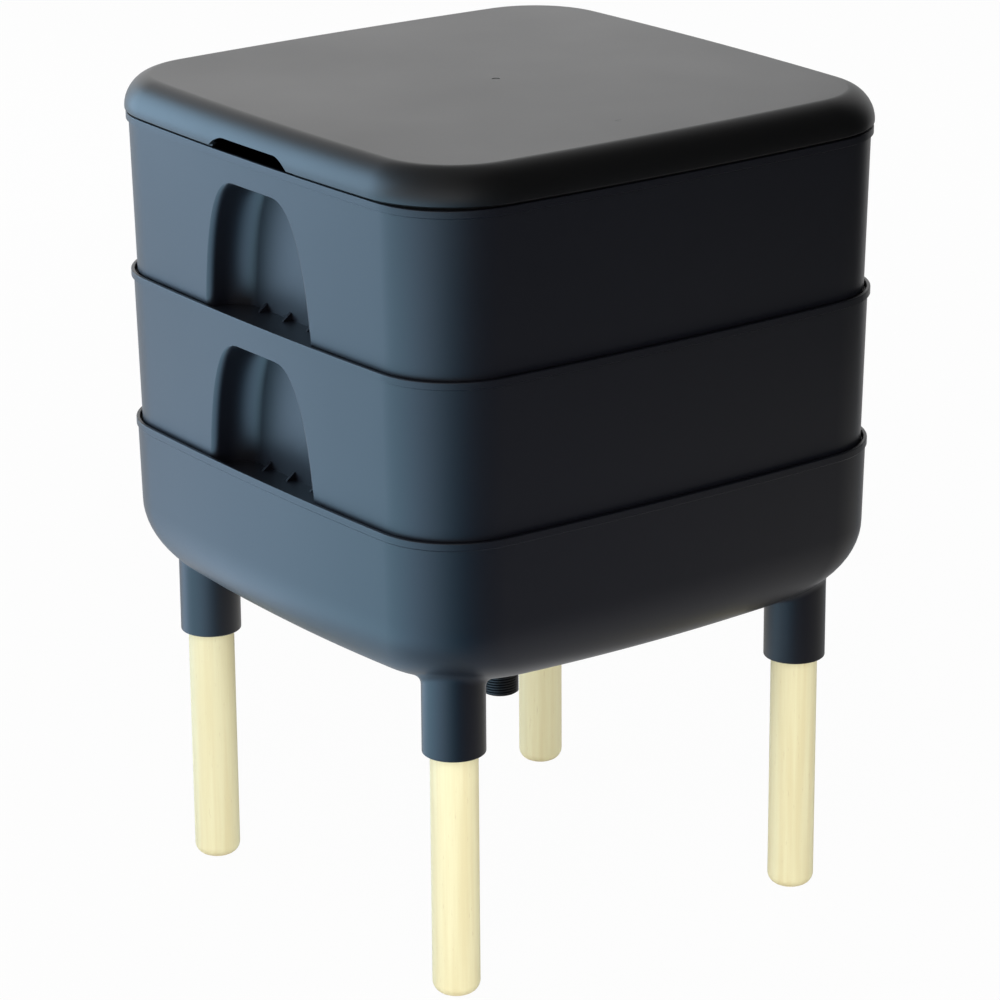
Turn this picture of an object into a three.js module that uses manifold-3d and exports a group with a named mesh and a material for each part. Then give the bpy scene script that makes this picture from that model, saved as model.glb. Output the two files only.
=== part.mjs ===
// Stacking wormery: a liquid bowl on four wooden legs, two identical worm trays and a lid.
// Millimetres, +Z up. The origin is on the floor, under the middle of the bowl.
// The trays' hand recesses face -X and +X, and the plain front faces -Y.

import * as THREE from "three";
import { mergeGeometries, mergeVertices } from "three/addons/utils/BufferGeometryUtils.js";
import Module from "manifold-3d";

const wasm = await Module();
wasm.setup();

// Fits and cuts shared by all pieces

const contactGap = 0.3; // between pieces that rest on each other
const overrun = 1; // how far a cut reaches past the face it opens
const weldDistance = 1e-4; // vertices closer than this are one

// Plan shape shared by the bowl and the trays

const lipHalf = 188.9; // middle of a side to the centre, over the lip
const cornerRadius = 57; // in plan, over the lip
const sideBow = 3; // how far each side swells past the ends of its corners
const wallDraft = 1.4; // degrees, so that the trays nest and leave the mould
const lipHeight = 4.5;
const lipWall = 2.4;
const lipBevel = 0.8;

// Trays

const trayHeight = 121.4;
const trayWall = 2.6;
const trayLipOverhang = 1.7; // how far the lip stands out from the wall
const trayFloor = 2.6;
const footHeight = 15; // the narrower foot that nests in the rim below
const footStep = 1.6;
const footEdge = 3; // rounding under the foot
const holeRadius = 3; // floor holes that the worms climb through
const holePitch = 44;
const holeLanding = 0.5; // least floor between a hole and a recess wall

// Hand recesses of a tray

const recessDepth = 29;
const recessFloorHalf = 59.9; // half width at the recess floor, over its edge rounding
const recessTopHalf = 22;
const recessTopDrop = 19; // from the lip down to the recess
const recessEdge = 5; // rounding where the side walls meet the outside
const recessCrownEdge = 1; // the same at the crown
const recessBackRadius = 9; // where the side walls turn into the back wall
const recessCrownRadius = 5; // the same at the crown
const gussetPitch = 26.5;
const gussetHeight = 5;
const gussetLength = 6.5;
const gussetThickness = 1.8;

// Bowl

const bowlWall = 2.6;
const bowlLipOverhang = 1;
const bowlRimDepth = 21.2; // how deep the lower tray stands in the bowl
const roundingWidth = 43; // the wall turns under over this width ...
const roundingHeight = 52; // ... and this height
const wallHeight = 51.5; // straight wall from the lip's lower edge to the rounding
const floorSlope = 19.5; // degrees, fall of the bowl's floor to its sump
const sumpHalf = 34;
const sumpBow = 0.5; // the sump is all but round

// Leg sockets, which run up inside the bowl as columns and carry the lower tray

const socketInset = 51.1; // from the lip's outside to a leg axis, both ways
const socketWall = 3;
const socketDepth = 126.8;
const socketRibThickness = 1.6;
const socketRibDepth = 1.6; // from the bore's wall in to the leg's fit
const legFit = 0.3; // between a leg and the socket ribs
const columnCap = 3;

// Legs

const legRadius = 15.2;
const legLength = 289.2;
const legEndRound = 8;
const legTopBevel = 1;

// Lid

const lidOverhang = 2.9; // past the lip that it covers
const lidCornerRadius = 65.8;
const lidHeight = 23.4;
const lidWall = 2.6;
const lidRoundWidth = 17.9;
const lidSkirtHeight = 3.8; // straight, below the rounded edge
const lidBeadWidth = 4.6; // the skirt's thickened lower edge, which rests on the lip
const lidBeadHeight = 3;
const locatorFit = 0.7; // between the locating ring and the tray's wall
const locatorDepth = 8; // how far the ring reaches below the lip
const locatorWall = 2;
const notchHeight = 9.1;
const notchBottomHalf = 44;
const notchTopHalf = 27;
const notchRelief = 6; // how much wider the locating ring is cut

// Drain fitting

const threadRadius = 12.4;
const spigotBore = 8.5;
const spigotReach = 37.5; // below the bowl's lowest face
const spigotBevel = 1;
const flangeRadius = 20;
const flangeThickness = 3;
const washerRadius = 19;
const washerThickness = 2;
const nutAcrossFlats = 36;
const nutThickness = 8;
const threadFit = 0.3;
const plugFit = 0.3;
const plugLength = 14;
const plugWall = 2;
const plugBevel = 1;

// Facets

const cornerSteps = 6;
const sideSteps = 4;
const roundingSteps = 5;
const recessSteps = 6;
const socketSides = 18;
const fittingSides = 20;
const holeSides = 6;
const socketRibs = 4;

// Widths and heights that follow from the sizes above

const trayWallTopHalf = lipHalf - trayLipOverhang; // outside, just under the lip
const bowlWallTopHalf = lipHalf - bowlLipOverhang;
const socketPlace = lipHalf - socketInset; // of a leg axis, both ways
const socketBoreRadius = legRadius + legFit + socketRibDepth;
const socketRadius = socketBoreRadius + socketWall;
const lidHalf = lipHalf + lidOverhang;
const lidRoundHeight = lidHeight - lidSkirtHeight;
const draftShare = Math.tan(THREE.MathUtils.degToRad(wallDraft));
const slopeShare = Math.tan(THREE.MathUtils.degToRad(floorSlope));
const socketTop = legLength + contactGap; // blind end of a socket
const columnTop = socketTop + columnCap;
const lowerTrayZ = columnTop + contactGap;
const bowlRimZ = columnTop + bowlRimDepth;
const recessTop = trayHeight - recessTopDrop;
const recessRoof = recessTop - recessCrownEdge + trayWall; // inside, where the next tray stands
const upperTrayZ = lowerTrayZ + recessRoof + contactGap;
const lidZ = upperTrayZ + trayHeight + contactGap;
const socketPlaces = [
  ["leg_front_left", -1, -1],
  ["leg_front_right", 1, -1],
  ["leg_back_left", -1, 1],
  ["leg_back_right", 1, 1],
];

// Solids from geometry, and back

function solid(geometry) {
  const bare = geometry.clone();
  bare.deleteAttribute("normal");
  bare.deleteAttribute("uv");
  const merged = mergeVertices(bare, weldDistance);
  return new wasm.Manifold(
    new wasm.Mesh({
      numProp: 3,
      vertProperties: new Float32Array(merged.attributes.position.array),
      triVerts: new Uint32Array(merged.index.array),
    }),
  );
}

function piece(name, shape, material) {
  const mesh = shape.getMesh();
  const geometry = new THREE.BufferGeometry();
  geometry.setAttribute("position", new THREE.BufferAttribute(mesh.vertProperties, mesh.numProp));
  geometry.setIndex(new THREE.BufferAttribute(mesh.triVerts, 1));
  geometry.computeVertexNormals();
  const made = new THREE.Mesh(geometry, material);
  made.name = name;
  return made;
}

// A closed skin over rings of equally many points, with each end fanned from its middle.
function loft(rings) {
  const count = rings[0].length;
  const positions = [];
  const faces = [];
  for (const ring of rings) {
    for (const point of ring) {
      positions.push(point.x, point.y, point.z);
    }
  }
  for (let level = 0; level < rings.length - 1; level++) {
    for (let i = 0; i < count; i++) {
      const next = (i + 1) % count;
      const low = level * count;
      const high = low + count;
      faces.push(low + i, low + next, high + next);
      faces.push(low + i, high + next, high + i);
    }
  }
  const last = (rings.length - 1) * count;
  const ends = [
    [rings[0], 0, -1],
    [rings.at(-1), last, 1],
  ];
  for (const [ring, start, turn] of ends) {
    const middle = ring.reduce((sum, point) => sum.add(point), new THREE.Vector3()).divideScalar(count);
    const centre = positions.length / 3;
    positions.push(middle.x, middle.y, middle.z);
    for (let i = 0; i < count; i++) {
      const next = (i + 1) % count;
      faces.push(centre, start + (turn > 0 ? i : next), start + (turn > 0 ? next : i));
    }
  }
  const geometry = new THREE.BufferGeometry();
  geometry.setAttribute("position", new THREE.Float32BufferAttribute(positions, 3));
  geometry.setIndex(faces);
  return geometry;
}

// One level of a body: a square with round corners whose sides are shallow arcs, all tangent.
function squareRing(half, radius, bow, z) {
  const corner = half - radius - bow; // centre of the corner arc, both ways
  const sideRadius = (corner ** 2 + (half - corner) ** 2 - radius ** 2) / (2 * bow);
  const sideCentre = half - sideRadius;
  const turn = Math.atan2(corner, corner - sideCentre); // where side and corner meet
  const ring = [];
  for (let quarter = 0; quarter < 4; quarter++) {
    const spin = (quarter * Math.PI) / 2;
    const put = (x, y) => {
      const at = new THREE.Vector3(x, y, z).applyAxisAngle(new THREE.Vector3(0, 0, 1), spin);
      ring.push(at);
    };
    for (let i = 0; i < sideSteps; i++) {
      const angle = -turn + (2 * turn * i) / sideSteps;
      put(sideCentre + sideRadius * Math.cos(angle), sideRadius * Math.sin(angle));
    }
    for (let i = 0; i < cornerSteps; i++) {
      const angle = turn + ((Math.PI / 2 - 2 * turn) * i) / cornerSteps;
      put(corner + radius * Math.cos(angle), corner + radius * Math.sin(angle));
    }
  }
  return ring;
}

// The shared plan drawn in or out evenly, so that its corner arcs keep their centres.
function planRing(half, z) {
  return squareRing(half, cornerRadius - (lipHalf - half), sideBow, z);
}

function block(width, depth, height, x, y, z) {
  return new THREE.BoxGeometry(width, depth, height).translate(x, y, z);
}

// A turned piece about the Z axis. The profile is a list of [radius, z].
function turned(profile, sides) {
  const points = profile.map(([radius, z]) => new THREE.Vector2(radius, z));
  return new THREE.LatheGeometry(points, sides).rotateX(Math.PI / 2);
}

function rod(radius, low, high, sides) {
  return turned([[0, low], [radius, low], [radius, high], [0, high]], sides);
}

// Finishes

function finish(color, roughness) {
  return new THREE.MeshStandardMaterial({ color, roughness, metalness: 0 });
}

const plastic = finish(0x232a31, 0.5);
const lidPlastic = finish(0x2b2e31, 0.5);
const wood = finish(0xe6d9a4, 0.7);
const fittingPlastic = finish(0x0d0e10, 0.45);
const rubber = finish(0x17181a, 0.85);

// Tray

function trayWallHalf(height) {
  return trayWallTopHalf - draftShare * (trayHeight - lipHeight - height);
}

function trayOutside() {
  const foot = (height) => trayWallHalf(height) - footStep;
  const lipBottom = trayHeight - lipHeight;
  const edge = footEdge * (1 - Math.SQRT1_2);
  return loft([
    planRing(foot(0) - footEdge, 0),
    planRing(foot(0) - edge, edge),
    planRing(foot(0), footEdge),
    planRing(foot(footHeight), footHeight),
    planRing(trayWallHalf(footHeight), footHeight + footStep),
    planRing(trayWallTopHalf, lipBottom - trayLipOverhang / 2),
    planRing(lipHalf, lipBottom),
    planRing(lipHalf, trayHeight - lipBevel),
    planRing(lipHalf - lipBevel, trayHeight),
  ]);
}

function trayInside() {
  const inner = (height) => trayWallHalf(height) - footStep - trayWall;
  const lipBottom = trayHeight - lipHeight;
  return loft([
    planRing(inner(trayFloor) - footEdge, trayFloor),
    planRing(inner(footEdge), trayFloor + footEdge),
    planRing(inner(footHeight), footHeight),
    planRing(trayWallHalf(footHeight) - trayWall, footHeight + footStep + trayWall / 2),
    planRing(trayWallTopHalf - trayWall, lipBottom - trayLipOverhang),
    planRing(lipHalf - lipWall, lipBottom),
    planRing(lipHalf - lipWall, trayHeight + overrun),
  ]);
}

// Control points of a recess side, as shares of its half width and height, floor to crown.
const recessCurveShares = { lowWidth: 0.93, lowHeight: 0.52, highWidth: 0.77 };

// The recess outline in its own plane: a flat floor, flared sides and a rounded crown.
function recessRing(x, half, floor, height) {
  const crown = (half * recessTopHalf) / recessFloorHalf;
  const side = new THREE.CubicBezierCurve(
    new THREE.Vector2(half, floor),
    new THREE.Vector2(half * recessCurveShares.lowWidth, floor + height * recessCurveShares.lowHeight),
    new THREE.Vector2(half * recessCurveShares.highWidth, floor + height),
    new THREE.Vector2(crown, floor + height),
  );
  const rise = side.getPoints(recessSteps);
  const fall = [...rise].reverse().map((point) => new THREE.Vector2(-point.x, point.y));
  return [...rise, ...fall].map((point) => new THREE.Vector3(x, point.x, point.y));
}

// A recess as a solid, from outside the wall to its back. grow adds the wall's thickness round it.
function recessSolid(grow, floor) {
  const face = -lipHalf;
  const height = recessTop - floor + grow;
  const ring = (depth, inset, drop) =>
    recessRing(face + depth, recessFloorHalf - inset + grow, floor, height - drop);
  const edge = grow > 0 ? 1 : 0; // the inside starts past the edge rounding
  const rings = [ring(-overrun, recessEdge * edge, recessCrownEdge * edge)];
  if (grow === 0) {
    for (const degrees of [0, 45, 90]) {
      const angle = THREE.MathUtils.degToRad(degrees);
      const depth = trayLipOverhang + recessEdge * (1 - Math.cos(angle));
      rings.push(ring(depth, recessEdge * Math.sin(angle), recessCrownEdge * Math.sin(angle)));
    }
  }
  const back = recessBackRadius + grow;
  for (const degrees of [0, 45, 90]) {
    const angle = THREE.MathUtils.degToRad(degrees);
    const drawnShare = 1 - Math.cos(angle);
    const depth = recessDepth + grow - back * (1 - Math.sin(angle));
    rings.push(ring(depth, recessEdge + back * drawnShare, recessCrownEdge + recessCrownRadius * drawnShare));
  }
  return loft(rings);
}

// A small triangular stiffener between a recess's floor and its back wall.
function gusset(y) {
  const back = recessDepth - lipHalf;
  const shape = new THREE.Shape([
    new THREE.Vector2(back - gussetLength, footHeight),
    new THREE.Vector2(back + trayWall / 2, footHeight - trayWall / 2),
    new THREE.Vector2(back + trayWall / 2, footHeight + gussetHeight),
    new THREE.Vector2(back, footHeight + gussetHeight),
  ]);
  const made = new THREE.ExtrudeGeometry(shape, { depth: gussetThickness, bevelEnabled: false });
  return made.rotateX(Math.PI / 2).translate(0, y + gussetThickness / 2, 0);
}

// The ledge under a recess is cored out from below, between ribs in line with the gussets.
function ledgeCores() {
  const outer = trayWall - (trayWallHalf(0) - footStep);
  const inner = recessDepth - lipHalf - trayWall;
  const end = recessFloorHalf - recessEdge - recessBackRadius;
  const edges = [-end, -gussetPitch, 0, gussetPitch, end];
  const top = footHeight - trayWall;
  const height = top + overrun;
  return edges.slice(1).map((edge, i) => {
    const from = edges[i] + (edges[i] > -end ? gussetThickness / 2 : 0);
    const to = edge - (edge < end ? gussetThickness / 2 : 0);
    return block(inner - outer, to - from, height, (outer + inner) / 2, (from + to) / 2, top - height / 2);
  });
}

function floorHoles() {
  const reach = lipHalf - recessDepth - trayWall - holeRadius - holeLanding;
  const rows = Math.floor(reach / holePitch);
  const holes = [];
  for (let column = -rows; column <= rows; column++) {
    for (let row = -rows; row <= rows; row++) {
      const hole = rod(holeRadius, -overrun, trayFloor + overrun, holeSides);
      holes.push(hole.translate(column * holePitch, row * holePitch, 0));
    }
  }
  return mergeGeometries(holes);
}

function trayBody() {
  let bulges = solid(recessSolid(trayWall, -overrun));
  bulges = bulges.add(solid(recessSolid(trayWall, -overrun).rotateZ(Math.PI)));
  const cavity = solid(trayInside()).subtract(bulges);
  let body = solid(trayOutside()).subtract(cavity);
  const cuts = [recessSolid(0, footHeight), ...ledgeCores()];
  const gussets = [-1, 0, 1].map((step) => gusset(step * gussetPitch));
  for (const spin of [0, Math.PI]) {
    for (const cut of cuts) {
      body = body.subtract(solid(cut.clone().rotateZ(spin)));
    }
    for (const stiffener of gussets) {
      body = body.add(solid(stiffener.clone().rotateZ(spin)));
    }
  }
  return body.subtract(solid(floorHoles()));
}

// Bowl

// One skin of the bowl, drawn in by inset: outside at 0, inside at the wall's thickness.
function bowlSkin(inset, top) {
  const roundingTop = bowlRimZ - lipHeight - wallHeight;
  const wallBottomHalf = bowlWallTopHalf - draftShare * wallHeight;
  const middle = wallBottomHalf - roundingWidth;
  const width = roundingWidth - inset;
  const height = roundingHeight - inset;
  const round = (turn) => [middle + width * Math.cos(turn), roundingTop - height * Math.sin(turn)];
  const under = (reach, drop) => Math.atan2(drop, reach * slopeShare); // the round meets the floor's slope
  const cornerGrowthShare = 0.3;
  const bowGrowthShare = 0.05;
  const [outerHalf, outerZ] = [
    middle + roundingWidth * Math.cos(under(roundingWidth, roundingHeight)),
    roundingTop - roundingHeight * Math.sin(under(roundingWidth, roundingHeight)),
  ];
  const sumpZ = outerZ - (outerHalf - sumpHalf) * slopeShare + inset;
  const end = under(width, height);
  const [endHalf, endZ] = round(end);
  const innerSumpHalf = endHalf - (endZ - sumpZ) / slopeShare;
  const wallCorner = cornerRadius - (lipHalf - wallBottomHalf) - inset;
  const drawn = (half) => wallBottomHalf - inset - half;
  const radiusAt = (half) => wallCorner + cornerGrowthShare * drawn(half);
  const bowAt = (half) => sideBow + bowGrowthShare * drawn(half);
  const floorSteps = 3;
  const rings = [];
  for (let i = 0; i < floorSteps; i++) {
    const share = i / floorSteps;
    const half = THREE.MathUtils.lerp(innerSumpHalf, endHalf, share);
    const radius = THREE.MathUtils.lerp(innerSumpHalf - 4 * sumpBow, radiusAt(endHalf), share);
    const bow = THREE.MathUtils.lerp(sumpBow, bowAt(endHalf), share);
    rings.push(squareRing(half, radius, bow, THREE.MathUtils.lerp(sumpZ, endZ, share)));
  }
  for (let i = 0; i <= roundingSteps; i++) {
    const [half, z] = round(end * (1 - i / roundingSteps));
    rings.push(squareRing(half, radiusAt(half), bowAt(half), z));
  }
  const lipBottom = bowlRimZ - lipHeight;
  rings.push(planRing(bowlWallTopHalf - inset, lipBottom - bowlLipOverhang));
  rings.push(planRing(lipHalf - (inset > 0 ? lipWall : 0), lipBottom));
  if (inset === 0) {
    rings.push(planRing(lipHalf, bowlRimZ - lipBevel));
  }
  rings.push(planRing(lipHalf - (inset > 0 ? lipWall : lipBevel), top));
  return { geometry: loft(rings), sumpZ };
}

const outerBowl = bowlSkin(0, bowlRimZ);
const bowlBottomZ = outerBowl.sumpZ;

// The room for one leg: a blind bore less the ribs that grip the leg.
function socketBore() {
  const mouth = socketTop - socketDepth;
  let bore = solid(rod(socketBoreRadius, mouth - overrun, socketTop, socketSides));
  const ribInside = legRadius + legFit;
  for (let i = 0; i < socketRibs; i++) {
    const length = socketRadius - ribInside;
    const middle = (mouth + socketTop) / 2;
    const rib = block(length, socketRibThickness, socketDepth, ribInside + length / 2, 0, middle);
    bore = bore.subtract(solid(rib.rotateZ((i * 2 * Math.PI) / socketRibs)));
  }
  return bore;
}

function bowlBody() {
  const inner = bowlSkin(bowlWall, bowlRimZ + overrun);
  let body = solid(outerBowl.geometry).subtract(solid(inner.geometry));
  const bore = socketBore();
  for (const [, sideX, sideY] of socketPlaces) {
    const at = [sideX * socketPlace, sideY * socketPlace, 0];
    const column = rod(socketRadius, socketTop - socketDepth, columnTop, socketSides);
    body = body.add(solid(column.translate(...at))).subtract(bore.translate(at));
  }
  const holeTop = bowlBottomZ + bowlWall + overrun;
  const drainHole = rod(threadRadius + threadFit, bowlBottomZ - overrun, holeTop, fittingSides);
  return body.subtract(solid(drainHole));
}

// Leg

function legBody() {
  const profile = [[0, 0]];
  for (const degrees of [0, 30, 60, 90]) {
    const angle = THREE.MathUtils.degToRad(degrees);
    const radius = legRadius - legEndRound * (1 - Math.sin(angle));
    profile.push([radius, legEndRound * (1 - Math.cos(angle))]);
  }
  profile.push([legRadius, legLength - legTopBevel], [legRadius - legTopBevel, legLength], [0, legLength]);
  return solid(turned(profile, socketSides));
}

// Lid

function lidSkin(inset, bottom) {
  const width = lidRoundWidth - inset;
  const height = lidRoundHeight - inset;
  const middle = lidHalf - lidRoundWidth;
  const ring = (half, z) => squareRing(half, lidCornerRadius - (lidHalf - half), sideBow, z);
  const rings = [];
  if (inset > 0) {
    rings.push(ring(lidHalf - lidBeadWidth, bottom));
    rings.push(ring(lidHalf - lidBeadWidth, lidZ + lidBeadHeight));
  } else {
    rings.push(ring(lidHalf - lipBevel / 2, bottom));
    rings.push(ring(lidHalf, bottom + lipBevel / 2));
  }
  for (let i = 0; i <= roundingSteps; i++) {
    const turn = ((Math.PI / 2) * i) / roundingSteps;
    const z = lidZ + lidSkirtHeight + height * Math.sin(turn);
    rings.push(ring(middle + width * Math.cos(turn), z));
  }
  return solid(loft(rings));
}

function lidNotch() {
  const outline = new THREE.Shape();
  const shoulder = (notchBottomHalf - notchTopHalf) / 2;
  outline.moveTo(-notchBottomHalf, -overrun);
  outline.lineTo(-notchBottomHalf, 0);
  outline.quadraticCurveTo(-notchTopHalf - shoulder, notchHeight, -notchTopHalf, notchHeight);
  outline.lineTo(notchTopHalf, notchHeight);
  outline.quadraticCurveTo(notchTopHalf + shoulder, notchHeight, notchBottomHalf, 0);
  outline.lineTo(notchBottomHalf, -overrun);
  const depth = lidBeadWidth + notchRelief / 2 + overrun; // right through the bead, which curves in plan
  const made = new THREE.ExtrudeGeometry(outline, { depth, bevelEnabled: false, curveSegments: 5 });
  return made.rotateX(Math.PI / 2).rotateZ(Math.PI / 2).translate(-lidHalf - overrun, 0, lidZ);
}

// The ring under the lid that drops inside the tray. It stops short of the finger notches.
function locatorRing() {
  const outer = trayWallTopHalf - trayWall - locatorFit;
  const inner = outer - locatorWall;
  const bottom = lidZ - contactGap - locatorDepth;
  const top = lidZ + lidHeight;
  const ring = solid(loft([planRing(outer, bottom), planRing(outer, top)]));
  const hollow = solid(loft([planRing(inner, bottom - overrun), planRing(inner, top + overrun)]));
  const gap = 2 * (notchBottomHalf + notchRelief);
  const way = block(2 * lidHalf, gap, 2 * (top - bottom), 0, 0, (top + bottom) / 2);
  const underLid = lidSkin(lidWall / 2, bottom - overrun);
  return ring.subtract(hollow).subtract(solid(way)).intersect(underLid);
}

function lidBody() {
  const notch = lidNotch();
  const shell = lidSkin(0, lidZ).subtract(lidSkin(lidWall, lidZ - overrun));
  return shell
    .add(locatorRing())
    .subtract(solid(notch))
    .subtract(solid(notch.clone().rotateZ(Math.PI)));
}

// Drain fitting, stacked from the bowl's floor both ways

const sumpFloorZ = bowlBottomZ + bowlWall;
const flangeZ = sumpFloorZ + washerThickness + 2 * contactGap;
const lowerWasherTop = bowlBottomZ - contactGap;
const nutTop = lowerWasherTop - washerThickness - contactGap;
const spigotEndZ = bowlBottomZ - spigotReach;

function washerBody(top) {
  const bottom = top - washerThickness;
  const bore = threadRadius + threadFit;
  const profile = [[bore, bottom], [washerRadius, bottom], [washerRadius, top], [bore, top], [bore, bottom]];
  return solid(turned(profile, fittingSides));
}

function spigotBody() {
  const top = flangeZ + flangeThickness;
  return solid(
    turned(
      [
        [spigotBore, spigotEndZ],
        [threadRadius - spigotBevel, spigotEndZ],
        [threadRadius, spigotEndZ + spigotBevel],
        [threadRadius, flangeZ],
        [flangeRadius, flangeZ],
        [flangeRadius, top - spigotBevel],
        [flangeRadius - spigotBevel, top],
        [spigotBore + spigotBevel, top],
        [spigotBore, top - spigotBevel],
        [spigotBore, spigotEndZ],
      ],
      fittingSides,
    ),
  );
}

function nutBody() {
  const nutSides = 6;
  const nutRadius = nutAcrossFlats / 2 / Math.cos(Math.PI / nutSides);
  const hexagon = rod(nutRadius, nutTop - nutThickness, nutTop, nutSides);
  const bore = rod(threadRadius + threadFit, nutTop - nutThickness - overrun, nutTop + overrun, fittingSides);
  return solid(hexagon).subtract(solid(bore));
}

// A hollow stopper, open downwards, whose rim lies flush with the spigot's end.
function plugBody() {
  const radius = spigotBore - plugFit;
  const top = spigotEndZ + plugLength;
  return solid(
    turned(
      [
        [0, top - plugWall],
        [radius - plugWall, top - plugWall],
        [radius - plugWall, spigotEndZ],
        [radius, spigotEndZ],
        [radius, top - plugBevel],
        [radius - plugBevel, top],
        [0, top],
      ],
      fittingSides,
    ),
  );
}

// Assembly: the bowl on its legs, then the trays and the lid, each standing on the one below

const wormery = new THREE.Group();
const bowlGroup = new THREE.Group();
wormery.add(bowlGroup);
bowlGroup.add(piece("base_bowl", bowlBody(), plastic));
for (const [name, sideX, sideY] of socketPlaces) {
  const leg = piece(name, legBody(), wood);
  leg.position.set(sideX * socketPlace, sideY * socketPlace, 0);
  bowlGroup.add(leg);
}
bowlGroup.add(piece("drain_spigot", spigotBody(), fittingPlastic));
bowlGroup.add(piece("drain_washer_upper", washerBody(flangeZ - contactGap), rubber));
bowlGroup.add(piece("drain_washer_lower", washerBody(lowerWasherTop), rubber));
bowlGroup.add(piece("drain_nut", nutBody(), fittingPlastic));
bowlGroup.add(piece("drain_plug", plugBody(), rubber));

const tray = trayBody();
for (const [name, z] of [["lower_tray", lowerTrayZ], ["upper_tray", upperTrayZ]]) {
  const mesh = piece(name, tray, plastic);
  mesh.position.z = z;
  wormery.add(mesh);
}
wormery.add(piece("lid", lidBody(), lidPlastic));

export default wormery;
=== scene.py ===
# %% [markdown]
# # A stacking wormery, dressed for the camera
#
# Worms live in a stack of moulded trays, and the liquid that drains from them gathers in a bowl that
# stands on four wooden dowels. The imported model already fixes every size, place and joint. This script
# keeps those and gives each piece a fine surface: smooth bowed walls, rounded rims, a real screw
# thread, satin plastic and pale wood.
#
# Everything is in metres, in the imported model's frame, with the floor at zero.

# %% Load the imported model
import math

import bmesh
import bpy
from mathutils import Matrix, Vector
from mathutils.bvhtree import BVHTree
from mathutils.geometry import interpolate_bezier


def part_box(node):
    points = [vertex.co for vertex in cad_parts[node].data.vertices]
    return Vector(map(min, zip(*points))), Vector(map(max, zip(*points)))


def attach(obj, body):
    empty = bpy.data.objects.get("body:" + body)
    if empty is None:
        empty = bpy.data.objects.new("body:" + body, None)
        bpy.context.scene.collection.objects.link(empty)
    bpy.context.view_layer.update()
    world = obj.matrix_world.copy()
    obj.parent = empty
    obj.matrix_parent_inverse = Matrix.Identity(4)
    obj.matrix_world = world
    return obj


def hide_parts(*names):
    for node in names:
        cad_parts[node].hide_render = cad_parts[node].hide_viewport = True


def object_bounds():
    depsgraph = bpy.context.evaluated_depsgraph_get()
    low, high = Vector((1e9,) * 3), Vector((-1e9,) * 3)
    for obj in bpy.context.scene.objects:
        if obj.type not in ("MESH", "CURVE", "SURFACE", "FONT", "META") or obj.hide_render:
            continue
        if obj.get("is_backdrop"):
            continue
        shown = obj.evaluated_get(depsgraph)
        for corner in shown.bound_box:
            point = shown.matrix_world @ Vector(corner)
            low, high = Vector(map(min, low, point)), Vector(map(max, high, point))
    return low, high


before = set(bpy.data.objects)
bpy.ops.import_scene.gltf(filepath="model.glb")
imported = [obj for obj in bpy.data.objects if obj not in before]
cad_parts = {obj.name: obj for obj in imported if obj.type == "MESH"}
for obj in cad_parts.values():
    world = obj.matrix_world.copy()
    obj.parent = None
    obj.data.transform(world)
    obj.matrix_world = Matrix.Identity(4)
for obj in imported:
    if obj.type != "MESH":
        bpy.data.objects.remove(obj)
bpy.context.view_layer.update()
MM = 0.001
WELD = 0.01 * MM  # vertices closer than this become one
UP = Vector((0, 0, 1))
print("nodes:", ", ".join(sorted(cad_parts)))

# %% [markdown]
# ## Hoops and skins
#
# Seen from above, the lid, the trays and the bowl are the same kind of figure: a square whose sides
# swell a little and whose corners are round. A bevelled cube has no swelling, and the corners of a
# scaled figure grow with its size.
#
# So each level of a body is a hoop: one vertex is spun through a shallow side arc, then through a
# corner arc that is tangent to it, and that quarter is spun three more times. Hoops of different
# widths are then bridged into a skin, as a cooper lays staves inside hoops.

# %% A hoop with bowed sides and round corners
SIDE_STEPS = 24
CORNER_STEPS = 20


def verts_in(items):
    return [item for item in items if isinstance(item, bmesh.types.BMVert)]


def verts_of(edges):
    """The vertices of some edges, each once and along Y, so that the order is always the same."""
    found = dict.fromkeys(vert for edge in edges for vert in edge.verts)
    return sorted(found, key=lambda vert: vert.co.y)


def hoop(bm, half, radius, bow, z):
    """Adds one closed loop of edges and returns it. half is from the middle to a side's crown."""
    known = set(bm.edges)
    corner = half - radius - bow
    side_radius = (corner**2 + (half - corner) ** 2 - radius**2) / (2 * bow)
    side_centre = half - side_radius
    turn = math.atan2(corner, corner - side_centre)
    begin = (side_centre + side_radius * math.cos(turn), -side_radius * math.sin(turn), z)
    first = bmesh.ops.create_vert(bm, co=begin)["vert"]
    side = bmesh.ops.spin(
        bm, geom=first, cent=(side_centre, 0, z), axis=UP, angle=2 * turn, steps=SIDE_STEPS
    )
    bmesh.ops.spin(
        bm,
        geom=verts_in(side["geom_last"]),
        cent=(corner, corner, z),
        axis=UP,
        angle=math.pi / 2 - 2 * turn,
        steps=CORNER_STEPS,
    )
    quarter = [edge for edge in bm.edges if edge not in known]
    bmesh.ops.spin(
        bm,
        geom=verts_of(quarter) + quarter,
        cent=(0, 0, z),
        axis=UP,
        angle=math.pi * 1.5,
        steps=3,
        use_duplicate=True,
    )
    loop = [edge for edge in bm.edges if edge not in known]
    bmesh.ops.remove_doubles(bm, verts=verts_of(loop), dist=WELD)
    return [edge for edge in bm.edges if edge not in known]


def skin(bm, loops):
    """Bridges each loop to the next, and fills the first and the last."""
    for low, high in zip(loops, loops[1:]):
        bmesh.ops.bridge_loops(bm, edges=low + high)
    bmesh.ops.contextual_create(bm, geom=loops[0])
    bmesh.ops.contextual_create(bm, geom=loops[-1])
    bmesh.ops.recalc_face_normals(bm, faces=bm.faces)


test = bmesh.new()
edges = hoop(test, half=180 * MM, radius=50 * MM, bow=3 * MM, z=0)
print("a hoop has", len(edges), "edges")
test.free()

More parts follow.
